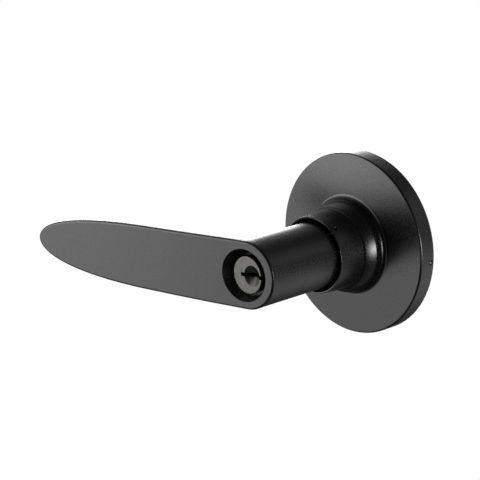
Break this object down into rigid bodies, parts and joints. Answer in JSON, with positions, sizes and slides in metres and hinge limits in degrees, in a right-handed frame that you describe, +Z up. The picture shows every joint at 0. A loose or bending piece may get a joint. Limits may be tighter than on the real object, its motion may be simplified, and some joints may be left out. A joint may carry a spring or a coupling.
{
  "type": "lever handle lockset outside trim",
  "caption": "Key-in-lever door trim: flat leaning lever on a round neck, shouldered round rose with spring cage behind, and a lock cylinder in the lever's face.",
  "frame": {"origin": "on the door's face, at the lowest point where the rose's back edge touches it, straight below the lever's axis, which is 43.95 mm above", "axes": "-Y out of the door along the lever's axis, +Z up, the lever points to -X"},
  "size_m": [0.1774, 0.1069, 0.0889],
  "materials": {
    "black_coat": "satin black powder coat",
    "satin_nickel": "satin nickel plate",
    "brass": "machined",
    "zinc_plate": "bright zinc plate",
    "spring_steel": "drawn",
    "nylon": "moulded"
  },
  "bodies": {
    "rose_assembly": {"rose_cover": "black_coat", "mounting_plate": "zinc_plate", "bolt_post_upper": "zinc_plate", "bolt_post_lower": "zinc_plate", "spring_cage": "zinc_plate", "cage_screw_1": "zinc_plate", "cage_screw_2": "zinc_plate", "cage_screw_3": "zinc_plate", "rose_clip_left": "spring_steel", "rose_clip_right": "spring_steel", "hub_bushing": "nylon", "thrust_washer": "nylon", "return_spring": "spring_steel"},
    "lever": {"lever_handle": "black_coat", "drive_tube": "zinc_plate", "spring_rotor": "zinc_plate", "spindle_retaining_ring": "spring_steel", "cylinder_shell": "brass", "pin_chamber_cover": "brass", "pin_spring_1": "spring_steel", "pin_spring_2": "spring_steel", "pin_spring_3": "spring_steel", "pin_spring_4": "spring_steel", "pin_spring_5": "spring_steel", "catch_spring": "spring_steel"},
    "driver_pins": {"driver_pin_1": "brass", "driver_pin_2": "brass", "driver_pin_3": "brass", "driver_pin_4": "brass", "driver_pin_5": "brass"},
    "plug": {"cylinder_plug": "satin_nickel", "plug_retaining_cap": "brass", "tailpiece": "spring_steel"},
    "key_pins": {"key_pin_1": "brass", "key_pin_2": "brass", "key_pin_3": "brass", "key_pin_4": "brass", "key_pin_5": "brass"},
    "catch": {"lever_catch": "spring_steel"}
  },
  "joints": [
    {"name": "lever_turn", "type": "hinge", "parent": "rose_assembly", "child": "lever", "pos_m": [0, 0, 0.04395], "axis": [0, -1, 0], "range_deg": [-45, 45], "stiffness_Nm_per_rad": 0.8, "deforming": ["return_spring"]},
    {"name": "plug_turn", "type": "hinge", "parent": "lever", "child": "plug", "pos_m": [0, 0, 0.04395], "axis": [0, -1, 0], "range_deg": [-90, 90]},
    {"name": "catch_press", "type": "slide", "parent": "lever", "child": "catch", "axis": [-0.6691, 0, -0.7431], "range_m": [0, 0.0018], "deforming": ["catch_spring"]},
    {"name": "key_pins_drop", "type": "slide", "parent": "plug", "child": "key_pins", "axis": [1, 0, 0], "range_m": [0, 0.0008]},
    {"name": "driver_pins_lift", "type": "slide", "parent": "lever", "child": "driver_pins", "axis": [-1, 0, 0], "range_m": [0, 0.0008], "deforming": ["pin_spring_1", "pin_spring_2", "pin_spring_3", "pin_spring_4", "pin_spring_5"]}
  ]
}
